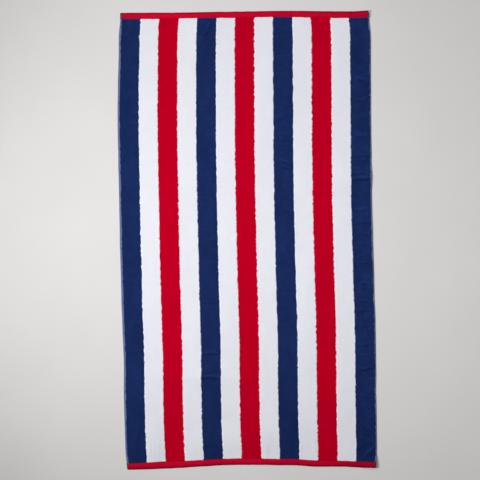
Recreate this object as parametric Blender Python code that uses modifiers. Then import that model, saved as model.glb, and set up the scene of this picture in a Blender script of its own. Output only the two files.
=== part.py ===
"""A striped terry beach towel, spread out flat.

The towel is one piece of cloth, so it is one solid: a thin closed sheet. Its pile stands
highest, its side selvages are flat weave without pile, and the hem across each end is the
same cloth woven flat, turned under twice and stitched.

Metres, +Z up. +X runs across the towel and +Y along it, from the foot hem to the head hem.
The origin is on the surface that the towel lies on, under the middle of its outline.
"""

import math

import bmesh
import bpy
import numpy as np

# The finished towel, measured flat.
WIDTH = 1.016
LENGTH = 1.829

# How far each plain border reaches in from the edge, and how thick each kind of cloth is.
HEM_DEPTH = 0.024
LEFT_SELVAGE = 0.0075
RIGHT_SELVAGE = 0.0045
PILE_THICK = 0.0032
HEM_THICK = 0.0022
SELVAGE_THICK = 0.0014
STEP = 0.0015  # the pile drops to a border over twice this

# Cells of the sheet between its borders.
CELLS_ACROSS = 27
CELLS_ALONG = 50

MM = 0.001

# How the long sides lie, in mm. A row is a place along the towel, from foot to head, and
# says where the left edge, the middle and the right edge are there.
SIDES = (
    # along, left, middle, right
    (-914, -494.0, 5.5, 505.0),
    (-860, -499.0, 5.0, 510.0),
    (-760, -502.5, 2.0, 510.5),
    (-615, -504.0, 1.5, 511.0),
    (-470, -503.0, 2.5, 512.0),
    (-325, -506.5, 2.0, 512.0),
    (-180, -508.5, -0.5, 509.0),
    (-35, -510.0, -1.5, 507.5),
    (160, -511.0, -3.0, 505.0),
    (350, -512.0, -3.0, 507.0),
    (545, -511.5, -1.0, 508.0),
    (740, -504.0, 1.0, 510.5),
    (840, -501.5, 3.0, 509.5),
    (885, -496.5, 4.0, 505.0),
    (914, -495.5, 4.5, 502.5),
)

# How the ends lie, in mm. A row is a place across the towel, from left to right, and says
# how far the foot and the head reach there.
ENDS = (
    # across, foot, head
    (-508, -915.5, 922.0),
    (-400, -914.0, 921.0),
    (-300, -911.5, 920.0),
    (-200, -906.5, 919.5),
    (-110, -903.0, 920.0),
    (0, -903.5, 920.0),
    (110, -906.5, 920.5),
    (185, -908.5, 920.0),
    (250, -914.0, 918.5),
    (380, -916.5, 915.0),
    (470, -921.5, 914.5),
    (508, -921.5, 915.5),
)

# Where the cloth stands a little off the surface: soft ridges, each a row with its middle
# (mm), its heading (degrees from +X), half its run, half its width and its height (mm).
RIPPLES = (
    # x, y, heading, half_run, half_width, height
    (-20, -800, 4, 340, 85, 4.0),  # slack gathered above the foot hem
    (-190, -548, -3, 300, 80, 3.0),  # packing fold, lower left
    (400, 238, 7, 270, 75, 3.0),  # packing fold, upper right
    (-300, 60, 96, 380, 85, 1.2),
    (55, 430, 80, 420, 80, 1.2),
    (250, -250, 85, 400, 85, 1.2),
    (-387, -835, 86, 150, 70, 2.5),
    (-150, 850, 55, 150, 75, 2.5),
    (-505, 560, 90, 250, 55, 2.5),  # left edge
    (502, 20, 89, 430, 60, 1.0),  # right edge
    (512, -925, -42, 80, 62, 6.5),  # foot corner on the right
    (512, 920, 40, 62, 45, 5.0),  # head corner on the right
)


def through(rows, column, at):
    """A column of a table at the places in at, on a smooth curve through its rows."""
    table = np.array(rows, dtype=float)
    places = table[:, 0]
    values = table[:, column]
    slopes = np.gradient(values, places)
    low = np.clip(np.searchsorted(places, at) - 1, 0, len(places) - 2)
    gap = places[low + 1] - places[low]
    t = np.clip((at - places[low]) / gap, 0.0, 1.0)
    start = (1 + 2 * t) * (1 - t) ** 2 * values[low] + t * (1 - t) ** 2 * gap * slopes[low]
    end = t**2 * (3 - 2 * t) * values[low + 1] + t**2 * (t - 1) * gap * slopes[low + 1]
    return start + end


def lay_flat(across, along):
    """Where a point of the cloth lies in plan, from its place on the towel."""
    left = through(SIDES, 1, along / MM) * MM
    middle = through(SIDES, 2, along / MM) * MM
    right = through(SIDES, 3, along / MM) * MM
    side = 2 * across / WIDTH
    x = middle + side * (right - left) / 2 + side**2 * ((left + right) / 2 - middle)
    foot = through(ENDS, 1, across / MM) * MM
    head = through(ENDS, 2, across / MM) * MM
    end = 2 * along / LENGTH
    y = np.where(end > 0, end * head, -end * foot)
    return x, y


def lift(x, y):
    """How high the underside stands off the surface: zero wherever no ripple reaches."""
    height = np.zeros_like(x)
    for ripple_x, ripple_y, heading, half_run, half_width, rise in RIPPLES:
        turn = math.radians(heading)
        dx = x / MM - ripple_x
        dy = y / MM - ripple_y
        run = (dx * math.cos(turn) + dy * math.sin(turn)) / half_run
        aside = (dy * math.cos(turn) - dx * math.sin(turn)) / half_width
        inside = np.clip(1 - run**2 - aside**2, 0, None)
        height += rise * MM * inside**2
    return height


def lines(half, low_border, high_border, cells):
    """Grid lines from edge to edge, with a pair close together where a border starts."""
    inner = np.linspace(-half + low_border + STEP, half - high_border - STEP, cells + 1)
    low = [-half, -half + low_border - STEP]
    high = [half - high_border + STEP, half]
    return np.concatenate([low, inner, high])


def make_sheet(name):
    """The underside as an open grid, moved to where the cloth lies."""
    across = lines(WIDTH / 2, LEFT_SELVAGE, RIGHT_SELVAGE, CELLS_ACROSS)
    along = lines(LENGTH / 2, HEM_DEPTH, HEM_DEPTH, CELLS_ALONG)
    columns = len(across) - 1
    rows = len(along) - 1
    cloth = bmesh.new()
    bmesh.ops.create_grid(cloth, x_segments=columns, y_segments=rows, size=0.5)
    places = np.array([vertex.co[:2] for vertex in cloth.verts]) + 0.5
    u = across[np.rint(places[:, 0] * columns).astype(int)]
    v = along[np.rint(places[:, 1] * rows).astype(int)]
    x, y = lay_flat(u, v)
    z = lift(x, y)
    for vertex, place in zip(cloth.verts, zip(x, y, z)):
        vertex.co = place
    mesh = bpy.data.meshes.new(name)
    cloth.to_mesh(mesh)
    cloth.free()
    mesh.shade_smooth()
    return mesh, u, v


def thickness_share(u, v):
    """The cloth's thickness at each point, as a share of the pile's."""
    share = np.ones_like(u)
    selvage = (u < -WIDTH / 2 + LEFT_SELVAGE) | (u > WIDTH / 2 - RIGHT_SELVAGE)
    share[selvage] = SELVAGE_THICK / PILE_THICK
    hem = np.abs(v) > LENGTH / 2 - HEM_DEPTH
    share[hem] = HEM_THICK / PILE_THICK
    return share


def thicken(towel, share):
    """A Solidify modifier that follows each border's own thickness."""
    weights = towel.vertex_groups.new(name="thickness")
    for index, value in enumerate(share):
        weights.add([index], float(value), "REPLACE")
    solidify = towel.modifiers.new("Thickness", "SOLIDIFY")
    solidify.thickness = PILE_THICK
    solidify.offset = 1.0
    solidify.vertex_group = weights.name


def terry_material():
    """Cotton terry in the white of the widest colour."""
    material = bpy.data.materials.new("terry")
    material.use_nodes = True
    shader = material.node_tree.nodes["Principled BSDF"]
    shader.inputs["Base Color"].default_value = (0.78, 0.79, 0.86, 1.0)
    shader.inputs["Roughness"].default_value = 0.95
    shader.inputs["Metallic"].default_value = 0.0
    return material


def main():
    for old in list(bpy.data.objects):
        bpy.data.objects.remove(old, do_unlink=True)
    collection = bpy.data.collections.new("beach_towel")
    bpy.context.scene.collection.children.link(collection)
    mesh, u, v = make_sheet("towel")
    towel = bpy.data.objects.new("towel", mesh)
    collection.objects.link(towel)
    mesh.materials.append(terry_material())
    thicken(towel, thickness_share(u, v))


main()
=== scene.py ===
"""The looks of a striped velour beach towel, spread out flat.

The cloth is drawn the way terry is made: a thin ground sheet of the whole towel, the pile of
each stripe standing on it, a plain selvage down each side, and a flat-woven hem turned under
and stitched across each end. Every piece lies on one surface, worked out from where the cloth
lies, so none can drift from another.

Metres, +Z up, +X across the towel, +Y from the foot hem to the head hem. A place on the cloth
is (u, v): metres across and along it from its middle, as if it were flat.
"""

import math

import bpy
import numpy as np
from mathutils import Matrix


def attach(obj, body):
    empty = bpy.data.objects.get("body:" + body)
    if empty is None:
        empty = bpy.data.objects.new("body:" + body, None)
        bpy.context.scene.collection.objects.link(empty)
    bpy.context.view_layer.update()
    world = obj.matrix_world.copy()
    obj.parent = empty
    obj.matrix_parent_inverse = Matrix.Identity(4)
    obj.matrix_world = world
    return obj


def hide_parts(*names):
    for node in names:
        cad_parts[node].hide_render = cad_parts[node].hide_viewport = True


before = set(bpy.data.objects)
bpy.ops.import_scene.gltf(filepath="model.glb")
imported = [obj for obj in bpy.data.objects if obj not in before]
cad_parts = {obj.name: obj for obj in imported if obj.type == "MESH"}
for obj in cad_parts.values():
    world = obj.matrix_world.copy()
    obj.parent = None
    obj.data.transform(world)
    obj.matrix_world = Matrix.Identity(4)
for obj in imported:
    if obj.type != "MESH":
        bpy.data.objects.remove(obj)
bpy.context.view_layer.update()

MM = 0.001

# ---------------------------------------------------------------- the cloth's own sizes
WIDTH = 1.016
LENGTH = 1.829
HEM_DEPTH = 0.024
LEFT_SELVAGE = 0.0075
RIGHT_SELVAGE = 0.0045
PILE_TOP = 3.2 * MM
GROUND_TOP = 1.2 * MM
LEFT_EASE = 1.9 * MM  # how far the weave has eased out past the cloth's nominal edges
RIGHT_EASE = 0.3 * MM

STRIPES = "NWRWNWRWNWRWN"
STRIPE = 0.0775
OVERHANG = 1.0 * MM  # how far the coloured tufts lean out over each white stripe

# ---------------------------------------------------------------- colours, light, camera
COLOUR_NAMES = {"N": "navy", "W": "white", "R": "red"}
PILE_COLOURS = {
    "N": (0.0104, 0.0256, 0.1100),
    "W": (0.712, 0.718, 0.772),
    "R": (0.500, 0.0000, 0.0160),
}
# What white tufts look like next to a colour: light that the colour scatters tints them.
CASTS = {"N": (0.738, 0.770, 0.890), "R": (0.850, 0.725, 0.815)}
HEM_RED = (0.560, 0.0025, 0.0300)
HEM_WARP = (0.46, 0.0012, 0.012)  # half seen where a hem's warp is on top
# Painted shade: the tucked-in selvage at a hem's ends is darkened past the selvage's own colours.
TUCKED_IN_PAINTED_SHADE = (0.032, 0.034, 0.085)  # the selvage, where it shows at a hem's ends
SELVAGE_WEFT = (0.245, 0.300, 0.510)
SELVAGE_WARP = (0.018, 0.036, 0.130)
THREAD_RED = (0.46, 0.002, 0.020)
LINT = (0.55, 0.57, 0.66)
BACK_SHARE = 0.9  # how bright the back's loops are next to the pile
FLOOR_COLOUR = (0.622, 0.606, 0.602)
ROOM_COLOUR = (1.0, 0.98, 0.965)
ROOM_STRENGTH = 0.27

# How each colour of velour looks: its brightness between tufts, which is painted shade down in the
# pile, how much it varies from patch to patch, how much painted shade and highlight it takes from
# the tufts' lean over creases and above the foot hem, how much lint shows on it, and its sheen.
VELOUR = {
    # between, varies, painted_lean_shade, lint, sheen, sheen_tint
    "N": (0.74, 0.11, 0.34, 0.20, 0.06, (0.25, 0.40, 1.0)),
    "W": (0.93, 0.014, 0.025, 0.0, 0.05, (1.0, 1.0, 1.0)),
    "R": (0.80, 0.045, 0.10, 0.06, 0.10, (1.0, 0.02, 0.06)),
}

# The lamps are round soft boxes. A grid narrows the key's beam to its spread, and the fill
# has none. Sizes and places are in metres, spreads in degrees and powers in watts.
LAMPS = (
    # name, size, spread, power, colour, place, target
    ("key", 0.9, 66, 35, (0.985, 0.99, 1.0), (-3.20, 0.10, 2.22), (2.00, -0.22, 0.0)),
    ("fill", 0.8, 180, 45, (1.0, 1.0, 1.0), (-0.90, 2.70, 2.30), (0.0, 0.0, 0.0)),
)

# The camera looks straight down. Its lens and sensor are in mm.
LENS = 70
SENSOR = 36
VIEW_WIDTH = 1.934  # metres of cloth across the picture
CAMERA_OVER = (-0.0279, 0.0014)
CAMERA_TURN = -0.87  # degrees; the towel's head leans left

# ---------------------------------------------------------------- how the cloth lies
# How the long sides lie, in mm. A row is a place along the towel, from foot to head, and
# says where the left edge, the middle and the right edge are there.
SIDES = (
    # along, left, middle, right
    (-914, -494.0, 5.5, 505.0),
    (-860, -499.0, 5.0, 510.0),
    (-760, -502.5, 2.0, 510.5),
    (-615, -504.0, 1.5, 511.0),
    (-470, -503.0, 2.5, 512.0),
    (-325, -506.5, 2.0, 512.0),
    (-180, -508.5, -0.5, 509.0),
    (-35, -510.0, -1.5, 507.5),
    (160, -511.0, -3.0, 505.0),
    (350, -512.0, -3.0, 507.0),
    (545, -511.5, -1.0, 508.0),
    (740, -504.0, 1.0, 510.5),
    (840, -501.5, 3.0, 509.5),
    (885, -496.5, 4.0, 505.0),
    (914, -495.5, 4.5, 502.5),
)

# How the ends lie, in mm. A row is a place across the towel, from left to right, and says
# how far the foot and the head reach there.
ENDS = (
    # across, foot, head
    (-508, -915.5, 922.0),
    (-400, -914.0, 921.0),
    (-300, -911.5, 920.0),
    (-200, -906.5, 919.5),
    (-110, -903.0, 920.0),
    (0, -903.5, 920.0),
    (110, -906.5, 920.5),
    (185, -908.5, 920.0),
    (250, -914.0, 918.5),
    (380, -916.5, 915.0),
    (470, -921.5, 914.5),
    (508, -921.5, 915.5),
)

# Soft ridges where the whole cloth stands off the surface, as in the CAD. A row is a
# ridge's middle (mm), heading (degrees from +X), half run, half width and height (mm).
RIPPLES = (
    # x, y, heading, half_run, half_width, height
    (-20, -800, 4, 340, 85, 4.0),
    (-190, -548, -3, 300, 80, 3.0),
    (400, 238, 7, 270, 75, 3.0),
    (-300, 60, 96, 380, 85, 1.2),
    (55, 430, 80, 420, 80, 1.2),
    (250, -250, 85, 400, 85, 1.2),
    (-387, -835, 86, 150, 70, 2.5),
    (-150, 850, 55, 150, 75, 2.5),
    (-505, 560, 90, 250, 55, 2.5),
    (502, 20, 89, 430, 60, 1.0),
    (512, -925, -42, 80, 62, 6.5),
    (512, 920, 40, 62, 45, 5.0),
)

# Small creases on top of those, in the same columns: packing folds that cross the towel,
# the short wrinkles down the right-hand stripes and a few near the hems.
CREASES = (
    # x, y, heading, half_run, half_width, height
    (463, 240, 1, 70, 12, 2.2),
    (455, 262, 3, 60, 10, 0.6),
    (260, 238, 1, 330, 16, 0.35),
    (-157, -549, 0, 56, 11, 2.0),
    (-156, -456, 0, 50, 10, 1.1),
    (-60, -551, 0, 420, 15, 0.4),
    (137, 490, 22, 32, 8, 0.8),
    (150, 424, -14, 34, 8, 0.7),
    (158, 312, -16, 36, 7, 0.8),
    (160, 292, -12, 34, 7, 0.8),
    (150, 30, 20, 34, 9, 0.7),
    (148, -130, -18, 36, 9, 0.7),
    (152, -268, 12, 36, 9, 0.6),
    (472, 640, -6, 42, 12, 0.9),
    (468, 560, 8, 40, 10, 0.7),
    (470, 489, -4, 42, 9, 0.9),
    (466, 415, 7, 40, 10, 0.7),
    (468, 335, 0, 44, 8, 0.9),
    (470, 316, -5, 40, 7, 0.7),
    (465, 116, 8, 44, 11, 1.0),
    (466, 66, -6, 44, 9, 0.9),
    (464, -20, 5, 40, 11, 0.7),
    (466, -95, -8, 42, 10, 0.8),
    (468, -182, 6, 42, 9, 0.9),
    (470, -252, -9, 44, 9, 0.9),
    (460, -288, 4, 46, 10, 1.2),
    (466, -350, -4, 42, 9, 0.9),
    (470, -425, 10, 44, 10, 0.9),
    (466, -470, -7, 42, 8, 0.8),
    (471, -524, 5, 46, 9, 1.2),
    (-148, 850, 62, 52, 11, 1.3),
    (-172, 800, 66, 44, 10, 0.8),
    (-128, 812, 60, 40, 9, 0.6),
    (-404, -838, 87, 62, 9, 0.55),
    (-388, -832, 90, 66, 8, 0.6),
    (-371, -840, 93, 58, 8, 0.45),
    (-455, -800, 84, 90, 14, 0.8),
    (478, -866, 47, 62, 15, 1.3),
    (440, -842, 40, 48, 12, 0.7),
    (200, -850, 78, 60, 12, 0.7),
    (262, -846, 96, 56, 12, 0.6),
    (66, -858, 88, 50, 11, 0.6),
)


# ---------------------------------------------------------------- where the cloth lies
LATTICE = np.random.default_rng(20).random((256, 256)) * 2 - 1


def noise(x, y, size, turn=0):
    """Smooth noise from -1 to 1 in lumps about size across. Each turn gives other lumps."""
    across = x / size + 37.3 * turn + 500
    along = y / size + 91.7 * turn + 500
    column = np.floor(across).astype(int)
    row = np.floor(along).astype(int)
    right = across - column
    up = along - row
    right = right * right * (3 - 2 * right)
    up = up * up * (3 - 2 * up)
    corners = [LATTICE[(column + i) % 256, (row + j) % 256] for j in (0, 1) for i in (0, 1)]
    low = corners[0] * (1 - right) + corners[1] * right
    high = corners[2] * (1 - right) + corners[3] * right
    return low * (1 - up) + high * up


def lumps(x, y, rows, turn=0):
    """Noises of several sizes, added up. A row is how much, the size in mm and the turn."""
    total = 0
    for amount, size, row_turn in rows:
        total = total + amount * noise(x, y, size * MM, row_turn + turn)
    return total


def through(rows, column, at):
    """A column of a table at the places in at, on a smooth curve through its rows."""
    table = np.array(rows, dtype=float)
    places = table[:, 0]
    values = table[:, column]
    slopes = np.gradient(values, places)
    low = np.clip(np.searchsorted(places, at) - 1, 0, len(places) - 2)
    gap = places[low + 1] - places[low]
    t = np.clip((at - places[low]) / gap, 0.0, 1.0)
    start = (1 + 2 * t) * (1 - t) ** 2 * values[low] + t * (1 - t) ** 2 * gap * slopes[low]
    end = t**2 * (3 - 2 * t) * values[low + 1] + t**2 * (t - 1) * gap * slopes[low + 1]
    return start + end


def lay_flat(u, v):
    """Where a place on the cloth lies in plan."""
    left = through(SIDES, 1, v / MM) * MM
    middle = through(SIDES, 2, v / MM) * MM
    right = through(SIDES, 3, v / MM) * MM
    side = 2 * u / WIDTH
    x = middle + side * (right - left) / 2 + side**2 * ((left + right) / 2 - middle)
    foot = through(ENDS, 1, u / MM) * MM
    head = through(ENDS, 2, u / MM) * MM
    end = 2 * v / LENGTH
    y = np.where(end > 0, end * head, -end * foot)
    return x, y


def ridges(rows, x, y):
    """The height of a table of soft ridges at places in plan."""
    height = np.zeros_like(x)
    for ridge_x, ridge_y, heading, half_run, half_width, rise in rows:
        turn = math.radians(heading)
        dx = x / MM - ridge_x
        dy = y / MM - ridge_y
        run = (dx * math.cos(turn) + dy * math.sin(turn)) / half_run
        aside = (dy * math.cos(turn) - dx * math.sin(turn)) / half_width
        inside = np.clip(1 - run**2 - aside**2, 0, None)
        height += rise * MM * inside**2
    return height


def creases(x, y):
    """The height of the creases, which wander a little from their straight runs."""
    aside = 3.5 * MM * noise(x, y, 17 * MM, 21)
    along = 4.0 * MM * noise(x, y, 21 * MM, 22)
    return ridges(CREASES, x + aside, y + along) * (1 + 0.35 * noise(x, y, 24 * MM, 23))


def tuft_lean_with_painted_shade(u, v):
    """How the tufts lean at (u, v), from -1 to 1, carrying painted shade and highlight. Over a
    crease the flank facing the foot is made darker and the flank facing the head lighter: painted
    shade and highlight for light from beyond the head, on top of the tufts opening there. The last
    0.4 m above the foot hem is made darker, most towards the right: painted shade where the light
    falls off. The tufts are also ruffled at random down the right-hand stripe."""
    x, y = lay_flat(u, v)
    # Painted shade and highlight over creases: darker on the flank facing the foot, lighter on the
    # flank facing the head, at full strength where the slope reaches steep.
    step = 1.5 * MM
    slope = (creases(x, y + step) - creases(x, y - step)) / (2 * step)
    steep = 0.20  # a slope that opens the tufts all the way
    # Painted shade above the foot hem, growing towards the foot and towards the right.
    painted_foot_shade = np.clip((-v - 0.50) / 0.40, 0, 1) * (0.40 + 0.50 * u)
    ruffled = np.clip((u - 0.38) / 0.04, 0, 1)
    patches = (0.10 + 0.30 * ruffled) * noise(x, y, 19 * MM, 24)
    patches = patches + (0.10 + 0.12 * ruffled) * noise(x, y, 8 * MM, 25)
    return np.clip(slope / steep + painted_foot_shade + patches, -1, 1)


def surface(u, v):
    """The underside of the cloth at (u, v): its place in plan and its height."""
    x, y = lay_flat(u, v)
    # The long edges waver, and the cloth stands off the surface a little everywhere.
    near_edge = np.abs(2 * u / WIDTH) ** 6
    x = x + near_edge * 0.7 * MM * noise(u * 0, v, 60 * MM, 3)
    broad = np.clip(noise(u, v, 150 * MM, 5), 0, None)
    small = np.clip(noise(u, v, 46 * MM, 6), 0, None)
    z = ridges(RIPPLES, x, y) + creases(x, y) + 0.35 * MM * (broad + small)
    return x, y, z


def place(u, v, height):
    """Points standing height above the cloth's underside, one row each."""
    x, y, z = surface(u, v)
    return np.stack([x, y, z + height], axis=-1).reshape(-1, 3)


# ---------------------------------------------------------------- meshes
def grid_faces(index, closed=False):
    """The four-sided faces between neighbouring points of a grid of point numbers."""
    if closed:
        index = np.concatenate([index, index[:, :1]], axis=1)
    corners = (index[:-1, :-1], index[:-1, 1:], index[1:, 1:], index[1:, :-1])
    return np.stack([c.ravel() for c in corners], axis=-1)


def make_piece(name, points, quads, rings, cloth_map, bake_map, material, extra=None):
    """A mesh object from points, four-sided faces and rings of more points. The maps give a
    place on the cloth, in metres, for each point, and one on the sheet for baking, for each
    face corner. extra holds more values for each point, by name."""
    mesh = bpy.data.meshes.new(name)
    corners = np.concatenate([quads.ravel(), *[np.asarray(ring) for ring in rings]])
    sizes = np.array([4] * len(quads) + [len(ring) for ring in rings], dtype=np.int32)
    starts = np.cumsum(sizes, dtype=np.int32) - sizes
    mesh.vertices.add(len(points))
    mesh.vertices.foreach_set("co", points.astype(np.float32).ravel())
    mesh.loops.add(len(corners))
    mesh.loops.foreach_set("vertex_index", corners.astype(np.int32))
    mesh.polygons.add(len(sizes))
    mesh.polygons.foreach_set("loop_start", starts)
    mesh.update(calc_edges=True)
    for layer, values in (("cloth", cloth_map[corners]), ("OFBake", bake_map)):
        if values is not None:
            uv_map = mesh.uv_layers.new(name=layer)
            uv_map.data.foreach_set("uv", values.astype(np.float32).ravel())
    for key, values in (extra or {}).items():
        kind, field = ("FLOAT", "value") if values.ndim == 1 else ("FLOAT_COLOR", "color")
        attribute = mesh.attributes.new(key, kind, "POINT")
        attribute.data.foreach_set(field, values.astype(np.float32).ravel())
    mesh.polygons.foreach_set("use_smooth", np.ones(len(sizes), dtype=bool))
    mesh.materials.append(material)
    mesh.validate()
    piece = bpy.data.objects.new(name, mesh)
    bpy.context.scene.collection.objects.link(piece)
    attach(piece, "root")
    return piece


def folded_map(across, along, rows, folds):
    """A bake sheet for a long band: cut into equal lengths that lie side by side. across and
    along run from 0 to 1 over the band at each face corner, and rows says how far along the
    band each corner's face is."""
    strip = np.minimum((rows * folds).astype(int), folds - 1)
    x = (strip + 0.01 + 0.98 * across) / folds
    y = 0.004 + 0.992 * (along * folds - strip)
    return np.stack([x, y], axis=-1)


def make_band(name, points, section, stations, cloth_map, material, extra=None,
              backwards=False, inside_out=False, gap=0.0, folds=1):
    """A long closed band with its two ends capped: at each station along it, the points of
    one section. backwards and inside_out turn its faces outward when the section or the
    stations run the other way. gap is the part of the section that closes it."""
    index = np.arange(len(points)).reshape(len(stations), len(section))
    around = np.concatenate([[0], np.cumsum(np.hypot(*np.diff(section, axis=0).T))])
    around = around / (around[-1] + gap)
    closing = 1.0
    if backwards:
        index = index[:, ::-1]
        around = around[::-1]
        closing = 0.0
    columns = np.append(around, closing)
    along = (stations - stations[0]) / (stations[-1] - stations[0])
    quads = grid_faces(index, closed=True)
    rings = [index[0][::-1], index[-1]]
    column = np.tile(np.arange(len(section)), len(stations) - 1)
    row = np.repeat(np.arange(len(stations) - 1), len(section))
    corner_column = np.stack([column, column + 1, column + 1, column], axis=-1)
    corner_row = np.stack([row, row, row + 1, row + 1], axis=-1)
    if inside_out:
        quads = quads[:, ::-1]
        rings = [ring[::-1] for ring in rings]
        corner_column = corner_column[:, ::-1]
        corner_row = corner_row[:, ::-1]
    across_at = columns[corner_column].ravel()
    along_at = along[corner_row].ravel()
    bake = [folded_map(across_at, along_at, np.repeat(along[row], 4), folds)]
    # Each end cap is a tiny circle in the sheet's far corner.
    for ring in rings:
        turn = np.arange(len(ring)) / len(ring) * 2 * math.pi
        bake.append(0.998 + 0.0015 * np.stack([np.cos(turn), np.sin(turn)], axis=-1))
    return make_piece(name, points, quads, rings, cloth_map, np.concatenate(bake), material, extra)


# ---------------------------------------------------------------- materials
class Nodes:
    """A short way to write a material's nodes."""

    def __init__(self, name):
        self.material = bpy.data.materials.new(name)
        self.material.use_nodes = True
        self.tree = self.material.node_tree
        self.shader = self.tree.nodes["Principled BSDF"]

    def link(self, source, target):
        self.tree.links.new(source, target)

    def node(self, kind, inputs=None, **settings):
        made = self.tree.nodes.new(kind)
        for key, value in settings.items():
            setattr(made, key, value)
        for key, value in (inputs or {}).items():
            if isinstance(value, bpy.types.NodeSocket):
                self.link(value, made.inputs[key])
            else:
                made.inputs[key].default_value = value
        return made

    def math(self, operation, first, second=0.0):
        made = self.node("ShaderNodeMath", {0: first, 1: second}, operation=operation)
        return made.outputs[0]

    def cloth(self):
        """The place on the cloth, in metres."""
        return self.node("ShaderNodeUVMap", uv_map="cloth").outputs[0]

    def attribute(self, name, output="Fac"):
        """A value that each point of the mesh has under this name."""
        return self.node("ShaderNodeAttribute", attribute_name=name).outputs[output]

    def scaled(self, vector, across, along):
        """The same place in lumps so many metres wide and long."""
        inputs = {0: vector, 1: (1 / across, 1 / along, 1.0)}
        return self.node("ShaderNodeVectorMath", inputs, operation="MULTIPLY").outputs[0]

    def noise(self, vector, detail=2.0, rough=0.5, scale=1.0):
        inputs = {"Vector": vector, "Scale": scale, "Detail": detail, "Roughness": rough}
        return self.node("ShaderNodeTexNoise", inputs).outputs["Fac"]

    def cells(self, vector):
        """One cell for each lump, as the outputs of a Voronoi texture."""
        return self.node("ShaderNodeTexVoronoi", {"Vector": vector, "Scale": 1.0}).outputs

    def between(self, value, low, high, to_low, to_high):
        """value from low..high taken to to_low..to_high, and held there past the ends."""
        limits = {"From Min": low, "From Max": high, "To Min": to_low, "To Max": to_high}
        return self.node("ShaderNodeMapRange", {"Value": value, **limits}).outputs[0]

    def varied(self, tone, noise, swing):
        """A brightness made higher or lower by up to swing, as the noise goes."""
        return self.math("MULTIPLY", tone, self.between(noise, 0.3, 0.7, 1 - swing, 1 + swing))

    def mix(self, share, first, second, blend="MIX"):
        made = self.node("ShaderNodeMix", data_type="RGBA", blend_type=blend)
        for socket, value in ((0, share), (6, first), (7, second)):
            if isinstance(value, bpy.types.NodeSocket):
                self.link(value, made.inputs[socket])
            elif socket == 0:
                made.inputs[0].default_value = value
            else:
                made.inputs[socket].default_value = (*value, 1.0)
        return made.outputs[2]

    def shade(self, colour, brightness):
        """A colour times a brightness."""
        grey = self.node("ShaderNodeCombineColor", dict.fromkeys(range(3), brightness))
        return self.mix(1.0, colour, grey.outputs[0], "MULTIPLY")

    def bump(self, height, distance, strength=1.0, below=None):
        inputs = {"Height": height, "Distance": distance, "Strength": strength}
        if below is not None:
            inputs["Normal"] = below
        return self.node("ShaderNodeBump", inputs).outputs[0]

    def finish(self, colour, normal, rough, shine=0.0, sheen=0.0, tint=(1.0, 1.0, 1.0)):
        """Sets the shader and gives the material."""
        inputs = self.shader.inputs
        self.link(colour, inputs["Base Color"])
        self.link(normal, inputs["Normal"])
        inputs["Roughness"].default_value = rough
        inputs["Specular IOR Level"].default_value = shine
        inputs["Sheen Weight"].default_value = sheen
        inputs["Sheen Roughness"].default_value = 0.5
        inputs["Sheen Tint"].default_value = (*tint, 1.0)
        return self.material


def pile_material(letter):
    """Sheared velour: fine upright tufts, brushed a little this way and that."""
    between, varies, painted_lean_shade, lint, sheen, sheen_tint = VELOUR[letter]
    m = Nodes("velour_" + COLOUR_NAMES[letter])
    cloth = m.cloth()
    tufts = m.cells(m.scaled(cloth, 1.0 * MM, 1.3 * MM))
    fibres = m.noise(m.scaled(cloth, 0.4 * MM, 0.7 * MM), 2.0)
    # Its brightness: painted shade between tufts, broad and small patches, fibres, and painted
    # shade and highlight from how the tufts lean.
    tone = m.between(tufts["Distance"], 0.15, 0.75, 1.0, between)
    tone = m.varied(tone, m.noise(m.scaled(cloth, 0.090, 0.160), 3.0), varies)
    tone = m.varied(tone, m.noise(m.scaled(cloth, 0.022, 0.034), 3.0, 0.6), varies * 0.7)
    tone = m.varied(tone, fibres, 0.06)
    tone = m.varied(tone, m.noise(m.scaled(cloth, 0.026, 0.010), 2.0, 0.6), varies * 0.8)
    # Painted shade and highlight: darker or lighter as the lean value goes, over creases and above
    # the foot hem.
    lean_and_painted_shade = m.between(m.attribute("lean_and_painted_shade"), -1.0, 1.0, 1 + painted_lean_shade * 0.6, 1 - painted_lean_shade)
    tone = m.math("MULTIPLY", tone, lean_and_painted_shade)
    # Its colour: here and there, strands of the next stripe cross the border.
    edge = m.attribute("edge")
    stray = m.noise(m.scaled(cloth, 2.2 * MM, 3.4 * MM), 2.0)
    crossed = m.math("GREATER_THAN", m.between(stray, 0.42, 0.72, 0.0, 1.5 * MM), edge)
    base = PILE_COLOURS[letter]
    if letter == "W":
        near_border = m.between(edge, 1.5 * MM, 7.5 * MM, 1.0, 0.0)
        base = m.mix(near_border, base, m.attribute("cast", "Color"))
    colour = m.shade(m.mix(crossed, base, m.attribute("beside", "Color")), tone)
    # Specks of lint, in about half of the cells of a coarse grid.
    fluff = m.cells(m.scaled(cloth, 0.024, 0.021))
    pick = m.node("ShaderNodeSeparateColor", {0: fluff["Color"]}).outputs[0]
    speck = m.between(fluff["Distance"], 0.02, 0.06, lint, 0.0)
    speck = m.math("MULTIPLY", speck, m.math("GREATER_THAN", pick, 0.55))
    colour = m.mix(speck, colour, LINT)
    tip = m.math("SUBTRACT", 1.0, tufts["Distance"])
    normal = m.bump(tip, 0.38 * MM, 0.8, m.bump(fibres, 0.22 * MM, 0.8))
    return m.finish(colour, normal, 0.95, 0.0, sheen, sheen_tint)


def weave(m, cloth, across, along):
    """A plain weave with threads of the given pitches: its height, and where warp is on
    top."""
    parts = m.node("ShaderNodeSeparateXYZ", {0: m.scaled(cloth, across, along)}).outputs
    sine_across = m.math("SINE", m.math("MULTIPLY", parts[0], math.pi))
    sine_along = m.math("SINE", m.math("MULTIPLY", parts[1], math.pi))
    warp = m.math("ABSOLUTE", sine_across)
    weft = m.math("ABSOLUTE", sine_along)
    over = m.between(m.math("MULTIPLY", sine_across, sine_along), -0.35, 0.35, 0.0, 1.0)
    under = m.math("SUBTRACT", 1.0, over)
    height = m.math("ADD", m.math("MULTIPLY", warp, over), m.math("MULTIPLY", weft, under))
    return height, over


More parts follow.
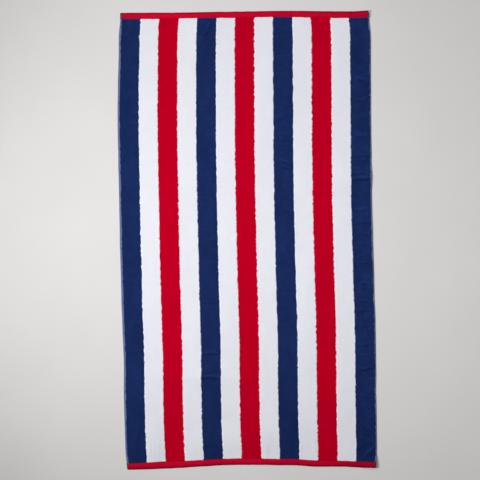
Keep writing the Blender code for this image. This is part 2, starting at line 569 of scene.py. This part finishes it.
def hem_material():
    """Red flat weave, with the pile threads floated flat, so a little brighter than pile."""
    m = Nodes("hem_weave")
    cloth = m.cloth()
    height, over = weave(m, cloth, 1.05 * MM, 0.85 * MM)
    slub = m.noise(m.scaled(cloth, 4.5 * MM, 1.1 * MM), 2.0)
    # Painted shade in the weave's hollows: darker where its threads dip.
    tone = m.between(height, 0.1, 0.9, 0.72, 1.05)
    tone = m.varied(tone, m.noise(m.scaled(cloth, 0.020, 0.006), 3.0), 0.06)
    tone = m.varied(tone, slub, 0.07)
    # Painted light and shade of the hem: dark on its fold and by the pile, lit on its flat, and
    # darker towards the right.
    tone = m.math("MULTIPLY", tone, m.attribute("painted_hem_light"))
    colour = m.mix(m.math("MULTIPLY", over, 0.5), HEM_RED, HEM_WARP)
    # At the hem's ends: the tucked-in selvage, darkened with painted shade.
    colour = m.mix(m.attribute("tucked_and_painted_shade"), colour, TUCKED_IN_PAINTED_SHADE)
    normal = m.bump(height, 0.35 * MM, 0.9, m.bump(slub, 0.25 * MM, 0.6))
    return m.finish(m.shade(colour, tone), normal, 0.82, 0.0, 0.08, (1.0, 0.05, 0.1))


def selvage_material():
    """Navy warp on pale blue weft, without pile."""
    m = Nodes("selvage_weave")
    cloth = m.cloth()
    height, over = weave(m, cloth, 1.2 * MM, 1.5 * MM)
    uneven = m.noise(m.scaled(cloth, 3 * MM, 9 * MM), 3.0)
    share = m.math("ADD", over, m.between(uneven, 0.3, 0.7, -0.25, 0.25))
    share = m.between(share, 0.25, 0.75, 0.15, 0.85)
    colour = m.mix(share, SELVAGE_WEFT, SELVAGE_WARP)
    # Painted shade in the weave's hollows: darker where its threads dip.
    tone = m.between(height, 0.1, 0.9, 0.70, 1.05)
    return m.finish(m.shade(colour, tone), m.bump(height, 0.40 * MM, 0.9), 0.88, 0.1)


def ground_material():
    """The back of the towel: uncut loops in the same stripes, in colours a little muted."""
    m = Nodes("terry_back")
    cloth = m.cloth()
    waver = m.between(m.noise(m.scaled(cloth, 6 * MM, 8 * MM), 2.0), 0.3, 0.7, -1.2 * MM, 1.2 * MM)
    u = m.math("ADD", m.node("ShaderNodeSeparateXYZ", {0: cloth}).outputs[0], waver)
    ramp = m.node("ShaderNodeValToRGB", {0: m.between(u, -WIDTH / 2, WIDTH / 2, 0.0, 1.0)})
    bands = ramp.color_ramp
    bands.interpolation = "CONSTANT"
    for number, letter in enumerate(STRIPES):
        start = 0.0 if number == 0 else 0.5 + (number - len(STRIPES) / 2) * STRIPE / WIDTH
        band = bands.elements[number] if number < 2 else bands.elements.new(start)
        band.position = start
        band.color = (*[BACK_SHARE * part for part in PILE_COLOURS[letter]], 1.0)
    loops = m.cells(m.scaled(cloth, 2.1 * MM, 2.6 * MM))
    curl = m.noise(m.scaled(cloth, 1.1 * MM, 1.4 * MM), 2.0)
    # Painted shade between the loops: darker away from each loop's top.
    tone = m.between(loops["Distance"], 0.1, 0.8, 1.06, 0.62)
    tip = m.math("SUBTRACT", 1.0, loops["Distance"])
    normal = m.bump(tip, 1.1 * MM, 0.9, m.bump(curl, 0.4 * MM, 0.7))
    return m.finish(m.shade(ramp.outputs["Color"], tone), normal, 0.95, 0.0, 0.05)


def thread_material():
    """Two-ply red sewing thread."""
    m = Nodes("sewing_thread")
    parts = m.node("ShaderNodeSeparateXYZ", {0: m.scaled(m.cloth(), 1.2 * MM, 0.6 * MM)}).outputs
    slant = m.math("MULTIPLY", m.math("ADD", parts[0], parts[1]), math.pi)
    ply = m.math("ABSOLUTE", m.math("SINE", slant))
    # Painted shade in the grooves between the two plies.
    colour = m.shade(THREAD_RED, m.between(ply, 0.0, 1.0, 0.7, 1.08))
    return m.finish(colour, m.bump(ply, 0.12 * MM, 0.8), 0.55, 0.1)


# How much deeper than HEM_DEPTH each hem was turned, in mm, from left to right.
HEM_LINES = (
    # across, foot, head
    (-508, -1.2, -1.5),
    (-462, -0.7, -1.2),
    (-384, 2.5, -0.6),
    (-300, 1.2, -1.6),
    (-230, 0.3, -2.4),
    (-152, -0.6, -2.0),
    (-76, 0.2, -0.8),
    (78, -0.6, -1.7),
    (156, -0.8, -1.0),
    (234, -0.8, -0.2),
    (312, -1.8, 0.8),
    (390, -2.6, 1.4),
    (466, -3.0, 0.5),
    (508, -3.0, 0.3),
)


def hem_line(u, v):
    """How much deeper than HEM_DEPTH the hem nearest to (u, v) is there, in metres."""
    foot = through(HEM_LINES, 1, u / MM)
    head = through(HEM_LINES, 2, u / MM)
    return np.where(v > 0, head, foot) * MM


# ---------------------------------------------------------------- pile
PILE_FOOT = 1.0 * MM  # the pile's slab starts this high, inside the ground sheet
PILE_HALF = LENGTH / 2 - HEM_DEPTH
ROW_STEP = 2.8 * MM
EDGE_STEPS = np.array([0.0, 0.7, 1.5, 2.6, 4.2]) * MM
UNDER_COLUMNS = 5  # the slab's underside needs only a few points across

# How far the tufts drop at the towel's own edge, between two stripes and at a hem, and over
# what distance.
EDGE_DROP = (1.3 * MM, 1.8 * MM)
BORDER_DROP = (0.45 * MM, 2.2 * MM)
END_DROP = (1.0 * MM, 1.7 * MM)

# How far the pile covers each selvage, in mm: on the left it covers more near both ends.
LEFT_COVER = 0.8
LEFT_COVER_FOOT = 2.2
LEFT_COVER_HEAD = 2.0
RIGHT_COVER = -0.3

# Unevenness, as rows for lumps().
FRAY = (
    # how much, size, turn
    (0.35, 45, 0),
    (0.2, 12, 20),
    (2.8, 3.6, 40),
)
END_FRAY = (
    # how much, size, turn
    (0.5, 9, 60),
    (0.6, 4, 61),
)
PILE_LUMPS = (
    # how much, size, turn
    (0.12, 21, 7),
    (0.10, 8, 8),
    (0.06, 4, 9),
)
HEM_RIPPLE = (
    # how much, size, turn
    (0.16, 14, 12),
    (0.10, 5, 13),
)


def boundary(number, v):
    """Where the boundary left of stripe number runs, at each v: straight in the loom, and
    frayed by the tufts that lean over it."""
    if number == 0:
        towards_foot = np.clip(-(v / MM + 690) / 150, 0, 1)
        towards_head = np.clip((v / MM - 850) / 40, 0, 1)
        covered = LEFT_COVER + LEFT_COVER_FOOT * towards_foot + LEFT_COVER_HEAD * towards_head
        straight = -WIDTH / 2 + LEFT_SELVAGE - covered * MM
    elif number == len(STRIPES):
        straight = WIDTH / 2 - RIGHT_SELVAGE + RIGHT_COVER * MM
    else:
        covered = OVERHANG if STRIPES[number] == "W" else -OVERHANG
        straight = (number - len(STRIPES) / 2) * STRIPE + covered
    return straight + lumps(v, v * 0, FRAY, number) * MM


def from_both_ends(half, coarse):
    """Places from -half to half, close together at both ends."""
    inner = half - EDGE_STEPS[-1]
    count = max(2, round(2 * inner / coarse))
    middle = np.linspace(-inner, inner, count + 1)
    return np.concatenate([-half + EDGE_STEPS[:-1], middle, half - EDGE_STEPS[-2::-1]])


def pile_height(u, v, from_left, from_right, from_end, number):
    """How high the tufts stand above the underside of the cloth."""
    left_drop = EDGE_DROP if number == 0 else BORDER_DROP
    right_drop = EDGE_DROP if number == len(STRIPES) - 1 else BORDER_DROP
    height = PILE_TOP + lumps(u, v, PILE_LUMPS) * MM
    sides = ((from_left, left_drop), (from_right, right_drop), (from_end, END_DROP))
    for distance, (drop, reach) in sides:
        height = height - drop * np.clip(1 - distance / reach, 0, 1) ** 2
    return height


def pile_bake(groups, rings, top_count, across, along):
    """The bake sheet of a stripe's pile: four lengths side by side, each with the top at full
    size, and the walls and underside small beside it. across and along run from 0 to 1 over
    the stripe, for each point."""
    wall = 0.02
    small = 0.06
    folds = 4

    def outer(points):
        return np.where(points < top_count, wall, 0.0)

    columns = (
        lambda points: wall + (1 - 2 * wall - small) * across[points],
        outer,
        lambda points: 1 - small - outer(points),
        lambda points: 1 - small * (0.9 - 0.8 * across[points]),
    )
    bake = []
    for group, column in zip(groups, columns):
        middle = np.repeat(along[group].mean(axis=1), 4)
        bake.append(folded_map(column(group).ravel(), along[group].ravel(), middle, folds))
    for ring in rings:
        is_foot = along[ring] < 0.5
        depth = np.where(ring < top_count, 0.0, 0.002)
        x = (np.where(is_foot, 0, folds - 1) + 0.01 + 0.9 * across[ring]) / folds
        y = np.where(is_foot, 0.002 - depth, 0.998 + depth)
        bake.append(np.stack([x, y], axis=-1))
    return np.concatenate(bake)


def make_pile(number, material):
    """The pile of one stripe: a closed slab with a soft top, frayed sides and ends."""
    letter = STRIPES[number]
    rows = from_both_ends(PILE_HALF, ROW_STEP)
    columns = from_both_ends(STRIPE / 2, ROW_STEP)
    share, v = np.meshgrid((columns + STRIPE / 2) / STRIPE, rows)
    left = boundary(number, v)
    right = boundary(number + 1, v)
    u = left + share * (right - left)
    # The ends are frayed, and follow the hems.
    from_end = PILE_HALF - np.abs(v)
    outward = lumps(u, v * 0, END_FRAY) * MM * np.clip(1 - from_end / (4 * MM), 0, 1)
    outward = outward - hem_line(u, v) * np.clip(1 - from_end / (20 * MM), 0, 1)
    laid_v = v + np.sign(v) * outward
    height = pile_height(u, v, u - left, right - u, from_end, number)
    top = place(u, laid_v, height)
    picks = np.linspace(0, len(columns) - 1, UNDER_COLUMNS).round().astype(int)
    under = place(u[:, picks], laid_v[:, picks], PILE_FOOT)
    above = np.arange(len(top)).reshape(u.shape)
    below = len(top) + np.arange(len(under)).reshape(len(rows), len(picks))
    groups = [
        grid_faces(above),
        grid_faces(np.stack([below[:, 0], above[:, 0]], axis=-1)),
        grid_faces(np.stack([above[:, -1], below[:, -1]], axis=-1)),
        grid_faces(below)[:, ::-1],
    ]
    rings = [
        np.concatenate([above[0, ::-1], below[0, :]]),
        np.concatenate([above[-1, :], below[-1, ::-1]]),
    ]
    cloth_u = np.concatenate([u.ravel(), u[:, picks].ravel()])
    cloth_v = np.concatenate([v.ravel(), v[:, picks].ravel()])
    across = np.concatenate([share.ravel(), share[:, picks].ravel()])
    along = (cloth_v + PILE_HALF) / (2 * PILE_HALF)
    bake = pile_bake(groups, rings, len(top), across, along)

    def from_neighbours(colours):
        """Each point's colour, from the stripe on its side; at the selvages, its own."""
        sides = STRIPES[max(number - 1, 0)], STRIPES[min(number + 1, len(STRIPES) - 1)]
        first, last = [[*colours[side], 1.0] for side in sides]
        return np.where((across < 0.5)[:, None], first, last)

    extra = {
        "edge": np.minimum(across, 1 - across) * STRIPE,
        "beside": from_neighbours(PILE_COLOURS),
        # painted shade and highlight over creases and above the foot hem, with random ruffling
        "lean_and_painted_shade": tuft_lean_with_painted_shade(cloth_u, cloth_v),
    }
    if letter == "W":
        extra["cast"] = from_neighbours(CASTS)
    points = np.concatenate([top, under])
    quads = np.concatenate(groups)
    cloth_map = np.stack([cloth_u, cloth_v], axis=-1)
    name = f"pile_{number + 1:02d}_{COLOUR_NAMES[letter]}"
    piece = make_piece(name, points, quads, rings, cloth_map, bake, material, extra)
    return piece


# ---------------------------------------------------------------- ground, hems, selvages
def make_ground(material):
    """The ground weave: one thin closed sheet of the whole towel, its borders inside the
    hems and selvages."""
    left = -WIDTH / 2 + LEFT_SELVAGE / 2
    right = WIDTH / 2 - RIGHT_SELVAGE / 2
    half = LENGTH / 2 - 5 * MM
    # Its last two lines on every side are in the borders, where its underside is raised.
    near_left = -WIDTH / 2 + LEFT_SELVAGE + 0.5 * MM
    near_right = WIDTH / 2 - RIGHT_SELVAGE - 0.5 * MM
    near_end = LENGTH / 2 - HEM_DEPTH + 0.8 * MM
    open_across = np.linspace(near_left + 1.5 * MM, near_right - 1.5 * MM, 84)
    open_along = np.linspace(-near_end + 2 * MM, near_end - 2 * MM, 150)
    across = np.concatenate([[left, near_left], open_across, [near_right, right]])
    along = np.concatenate([[-half, -near_end], open_along, [near_end, half]])
    u, v = np.meshgrid(across, along)
    near_line = np.clip(2 - np.abs(np.abs(v) - near_end) / (2.5 * MM), 0, 1)
    v = v - np.sign(v) * hem_line(u, v) * near_line
    raised = np.full(u.shape, 0.75 * MM)
    raised[2:-2, 2:-2] = 0
    top = place(u, v, GROUND_TOP)
    under = place(u, v, raised)
    above = np.arange(len(top)).reshape(u.shape)
    below = above + len(top)
    outline = (
        (above[:, 0], below[:, 0]),
        (above[-1], below[-1]),
        (above[::-1, -1], below[::-1, -1]),
        (above[0, ::-1], below[0, ::-1]),
    )
    walls = [grid_faces(np.stack([low, high], axis=-1)) for high, low in outline]
    quads = np.concatenate([grid_faces(above), grid_faces(below)[:, ::-1], *walls])
    points = np.concatenate([top, under])
    cloth_map = np.tile(np.stack([u, v], axis=-1).reshape(-1, 2), (2, 1))
    # The bake sheet holds the underside at full size and the hidden top in a strip beside it.
    x = (cloth_map[:, 0] - left) / (right - left)
    y = (cloth_map[:, 1] + half) / (2 * half)
    is_under = np.arange(len(points)) >= len(top)
    x = np.where(is_under, 0.01 + 0.85 * x, 0.99 - 0.11 * x)
    bake = np.stack([x, 0.01 + 0.98 * y], axis=-1)[quads.ravel()]
    piece = make_piece("cloth_ground", points, quads, [], cloth_map, bake, material)
    return piece


# A hem in section, in mm: how far in from the outer fold, and how high. The loop runs over
# the top from the pile to the fold and back under. The dip is where the stitches pull.
HEM_SECTION = (
    # inward, high
    (24.6, 1.25),
    (24.1, 1.95),
    (23.0, 2.25),
    (22.0, 2.20),
    (21.4, 1.95),
    (21.0, 1.80),
    (20.6, 1.95),
    (20.0, 2.25),
    (18.0, 2.45),
    (14.5, 2.42),
    (11.0, 2.46),
    (7.5, 2.42),
    (4.5, 2.45),
    (2.2, 2.30),
    (-0.4, 1.98),
    (-1.8, 1.50),
    (-2.3, 0.98),
    (-1.8, 0.42),
    (-0.1, 0.06),
    (4.0, 0.0),
    (9.0, 0.0),
    (14.0, 0.0),
    (19.8, 0.0),
    (20.5, 0.30),
    (21.0, 0.55),
    (21.5, 0.30),
    (22.2, 0.0),
    (23.6, 0.05),
    (24.3, 0.45),
)
# Painted light and shade on each hem's red, from its fold to the pile: painted shade on the rounded
# fold, which turns away from the light, a painted highlight on the flat, stronger at the head than
# at the foot, and painted shade again by the pile, which stands above the hem.
HEAD_PAINTED_LIGHT = (
    # inward, brightness
    (-2.3, 0.46),
    (0.8, 0.72),
    (4.5, 0.98),
    (8.0, 1.14),
    (12.0, 1.14),
    (17.0, 1.06),
    (22.0, 0.98),
    (25.0, 0.80),
)
FOOT_PAINTED_LIGHT = (
    # inward, brightness
    (-2.3, 0.44),
    (0.8, 0.56),
    (4.5, 0.72),
    (8.0, 0.88),
    (12.0, 1.03),
    (17.0, 1.06),
    (22.0, 1.00),
    (25.0, 0.80),
)
# How the same brightness changes from left to right: painted shade, brighter on the left and darker
# towards the right, most at the foot, where the light falls off. The hems also look a little darker
# where navy warp runs under the red.
HEM_PAINTED_FALLOFF = (
    # across, foot, head
    (-508, 1.07, 1.05),
    (-300, 1.06, 1.08),
    (-100, 1.05, 1.03),
    (100, 1.04, 1.02),
    (230, 0.98, 1.01),
    (330, 0.93, 0.98),
    (420, 0.83, 0.95),
    (508, 0.74, 0.90),
)
OVER_NAVY = 0.91
HEM_CORE = 0.9 * MM  # a hem's ends pinch shut at this height
PINCH = 1.6 * MM  # over how much they do
# TUCK also sets how far the painted shade at a hem's ends reaches.
TUCK = 5.5 * MM  # how far from its ends a hem shows the tucked-in selvage
CORNER = 3.5 * MM  # how much a hem's corners are rounded
HEM_STEP = 1.35 * MM

STITCH_IN = 21.0 * MM
STITCH_PITCH = 3.6 * MM
STITCH_LONG = 3.0 * MM
STITCH_WIDE = 0.34 * MM  # half widths across and upward
STITCH_TALL = 0.26 * MM

# A selvage in section. A row is how far in from its outer edge, as a share of its whole
# width and as mm more, and how high, in mm.
SELVAGE_SECTION = (
    # share, more, high
    (1.0, 0.0, 1.5),
    (0.7, 0.0, 1.45),
    (0.45, 0.0, 1.38),
    (0.22, 0.0, 1.45),
    (0.0, 0.7, 1.25),
    (0.0, 0.15, 0.95),
    (0.0, 0.0, 0.6),
    (0.0, 0.2, 0.25),
    (0.0, 0.9, 0.0),
    (0.4, 0.0, 0.0),
    (0.75, 0.0, 0.0),
    (1.0, 0.0, 0.25),
)
SELVAGE_UNDER = 1.3 * MM  # how far a selvage runs on under the pile
SELVAGE_STATIONS = 1790
BEAD_PITCH = 4.0 * MM


def corner_inset(u):
    """How far a hem's outer fold draws in where its corner is rounded."""
    from_end = np.clip(WIDTH / 2 - np.abs(u), 0, CORNER)
    return CORNER - np.sqrt(CORNER**2 - (CORNER - from_end) ** 2)


def make_hem(name, end, material):
    """One hem. end is 1 at the head and -1 at the foot."""
    section = np.array(HEM_SECTION) * MM
    stations = from_both_ends(WIDTH / 2, HEM_STEP)
    u = np.repeat(stations[:, None], len(section), axis=1)
    inward = np.repeat(section[None, :, 0], len(stations), axis=0)
    high = np.repeat(section[None, :, 1], len(stations), axis=0)
    near_end = WIDTH / 2 - np.abs(u)
    # The fold draws in at the corners, the ends pinch shut and the top puckers at each stitch.
    inward = inward + corner_inset(u) * (1 - inward / section[:, 0].max())
    pinch = np.clip(near_end / PINCH, 0, 1)
    high = HEM_CORE + (high - HEM_CORE) * (0.35 + 0.65 * np.sqrt(pinch * (2 - pinch)))
    on_top = high > 1.2 * MM
    near_stitch = np.exp(-(((inward - STITCH_IN) / (2.4 * MM)) ** 2))
    pucker = 0.16 * np.cos(2 * math.pi * u / STITCH_PITCH) * near_stitch
    high = high + np.where(on_top, (pucker + lumps(u, inward, HEM_RIPPLE)) * MM, 0)
    outward = np.clip(1 - inward / (6 * MM), 0, 1)
    inward = inward + outward * 0.5 * MM * noise(u, u * 0, 24 * MM, 14 + end)
    # How much of the hem's ends shows the tucked-in selvage and its painted shade.
    tucked_and_painted_shade = np.clip(1.4 - near_end / TUCK, 0, 1)
    ease = np.where(u < 0, -LEFT_EASE, RIGHT_EASE)
    u = u + ease * np.clip(1 - near_end / (20 * MM), 0, 1)
    deeper = hem_line(u, end + u * 0) * np.clip(inward / (15 * MM), 0, 1)
    points = place(u, end * (LENGTH / 2 - inward - deeper), high)
    # Painted light and shade on its red: across the hem, and falling off to the right.
    table, column = (HEAD_PAINTED_LIGHT, 2) if end > 0 else (FOOT_PAINTED_LIGHT, 1)
    painted_hem_light = through(table, 1, np.clip(inward.ravel() / MM, table[0][0], table[-1][0]))
    painted_hem_light = painted_hem_light * through(HEM_PAINTED_FALLOFF, column, u.ravel() / MM)
    stripe = np.floor(u.ravel() / STRIPE + len(STRIPES) / 2)
    over_navy = np.clip(stripe, 0, len(STRIPES) - 1) % 4 == 0
    painted_hem_light = painted_hem_light * np.where(over_navy, OVER_NAVY, 1.0)
    piece = make_band(
        name, points, section, stations, np.stack([u, inward], axis=-1).reshape(-1, 2), material,
        {"painted_hem_light": painted_hem_light, "tucked_and_painted_shade": tucked_and_painted_shade.ravel()},
        backwards=end > 0, inside_out=True, gap=2 * MM, folds=4,
    )
    return piece


def make_selvage(name, side, width, ease, material):
    """A plain woven edge. side is -1 on the left and 1 on the right."""
    share, more, high = np.array(SELVAGE_SECTION).T
    section = np.stack([share * (width + ease + SELVAGE_UNDER) + more * MM, high * MM], axis=-1)
    half = LENGTH / 2 - HEM_DEPTH + 1.5 * MM
    stations = np.linspace(-half, half, SELVAGE_STATIONS)
    v = np.repeat(stations[:, None], len(section), axis=1)
    inward = np.repeat(section[None, :, 0], len(stations), axis=0)
    high = np.repeat(section[None, :, 1], len(stations), axis=0)
    # Each turn of the weft makes a small bead along the edge.
    bead = np.cos(2 * math.pi * v / BEAD_PITCH) + 0.5 * noise(v, v * 0, 7 * MM, 31)
    outward = np.clip(1 - inward / (2.2 * MM), 0, 1)
    inward = inward - 0.16 * MM * bead * outward
    uneven = 0.10 * bead * outward + 0.08 * noise(v, inward, 9 * MM, 32)
    high = high + np.where(high > 0.9 * MM, uneven * MM, 0)
    u = side * (WIDTH / 2 + ease - inward)
    piece = make_band(
        name, place(u, v, high), section, stations, np.stack([u, v], axis=-1).reshape(-1, 2),
        material, backwards=side > 0, gap=1.2 * MM, folds=10,
    )
    return piece


def make_stitches(name, end, material):
    """The hem's lockstitch: a row of short threads above and one below."""
    rings = 5
    sides = 6
    along = np.linspace(-1, 1, rings)[:, None]
    turn = np.arange(sides) / sides * 2 * math.pi
    swell = np.sqrt(np.clip(1.04 - along**2, 0.04, 1))
    wide = swell * np.cos(turn)
    tall = swell * np.sin(turn)
    along = along + 0 * turn
    count = int((WIDTH - 8 * MM) / STITCH_PITCH)
    middles = (np.arange(count) - (count - 1) / 2) * STITCH_PITCH
    rows = (
        # height of its middle, how far its ends dip, shift along the hem
        (2.02 * MM, 0.30 * MM, 0.0),
        (0.30 * MM, -0.12 * MM, STITCH_PITCH / 2),
    )
    points = []
    cloth_map = []
    for level, dip, shift in rows:
        u = middles[:, None, None] + shift + along * STITCH_LONG / 2
        slant = 0.10 * MM * along
        v = end * (LENGTH / 2 - STITCH_IN - hem_line(u, end + u * 0)) + STITCH_WIDE * wide + slant
        points.append(place(u, v, level + STITCH_TALL * tall - dip * along**2))
        cloth_map.append(np.stack([u, v], axis=-1).reshape(-1, 2))
    points = np.concatenate(points)
    index = np.arange(len(points)).reshape(-1, rings, sides)
    one = grid_faces(index[0], closed=True)[:, ::-1]
    quads = (one[None] + index[:, 0, 0][:, None, None]).reshape(-1, 4)
    caps = [block[0] for block in index] + [block[-1][::-1] for block in index]
    piece = make_piece(name, points, quads, caps, np.concatenate(cloth_map), None, material)
    return piece


# ---------------------------------------------------------------- floor, light, camera
def make_floor():
    """A plain pale floor, reaching far past the towel."""
    half = 14.0
    mesh = bpy.data.meshes.new("floor")
    corners = [(-half, -half, 0), (half, -half, 0), (half, half, 0), (-half, half, 0)]
    mesh.from_pydata(corners, [], [(0, 1, 2, 3)])
    floor = bpy.data.objects.new("floor", mesh)
    floor.location.z = -0.2 * MM
    bpy.context.scene.collection.objects.link(floor)
    m = Nodes("floor_paint")
    spot = m.node("ShaderNodeNewGeometry").outputs["Position"]
    mottle = m.between(m.noise(spot, 5.0, scale=3.5), 0.3, 0.7, 0.985, 1.015)
    grit = m.noise(spot, 3.0, scale=160.0)
    mesh.materials.append(m.finish(m.shade(FLOOR_COLOUR, mottle), m.bump(grit, 0.3 * MM, 0.4), 0.9))
    return floor


def make_lights():
    """A soft box with a grid to the left of the towel, a bare one past its head, and a pale
    room."""
    for name, size, spread, power, colour, spot, target in LAMPS:
        data = bpy.data.lights.new(name, "AREA")
        data.shape = "DISK"
        data.size = size
        data.spread = math.radians(spread)
        data.energy = power
        data.color = colour
        lamp = bpy.data.objects.new(name, data)
        lamp.location = spot
        back = np.array(spot) - np.array(target)
        tilt = math.atan2(math.hypot(back[0], back[1]), back[2])
        lamp.rotation_euler = (tilt, 0, math.atan2(back[0], -back[1]))
        lamp.visible_camera = False
        bpy.context.scene.collection.objects.link(lamp)
    world = bpy.data.worlds.new("room")
    world.use_nodes = True
    background = world.node_tree.nodes["Background"]
    background.inputs[0].default_value = (*ROOM_COLOUR, 1.0)
    background.inputs[1].default_value = ROOM_STRENGTH
    bpy.context.scene.world = world


def make_camera():
    """Straight above the towel, at the height where the view is VIEW_WIDTH wide."""
    data = bpy.data.cameras.new("camera")
    data.lens = LENS
    data.sensor_width = SENSOR
    data.clip_end = 60
    camera = bpy.data.objects.new("camera", data)
    camera.location = (*CAMERA_OVER, VIEW_WIDTH * LENS / SENSOR + PILE_TOP)
    camera.rotation_euler = (0, 0, math.radians(CAMERA_TURN))
    bpy.context.scene.collection.objects.link(camera)
    bpy.context.scene.camera = camera


# ---------------------------------------------------------------- the towel
floor = make_floor()
make_lights()
make_camera()
bpy.context.scene.view_settings.view_transform = "Standard"

velour = {letter: pile_material(letter) for letter in COLOUR_NAMES}
ground = make_ground(ground_material())
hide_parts("towel")
on_it = [make_pile(number, velour[letter]) for number, letter in enumerate(STRIPES)]
hem_weave = hem_material()
selvage_weave = selvage_material()
thread = thread_material()
on_it.append(make_hem("hem_head", 1, hem_weave))
on_it.append(make_hem("hem_foot", -1, hem_weave))
on_it.append(make_selvage("selvage_left", -1, LEFT_SELVAGE, LEFT_EASE, selvage_weave))
on_it.append(make_selvage("selvage_right", 1, RIGHT_SELVAGE, RIGHT_EASE, selvage_weave))
on_it.append(make_stitches("stitches_head", 1, thread))
on_it.append(make_stitches("stitches_foot", -1, thread))
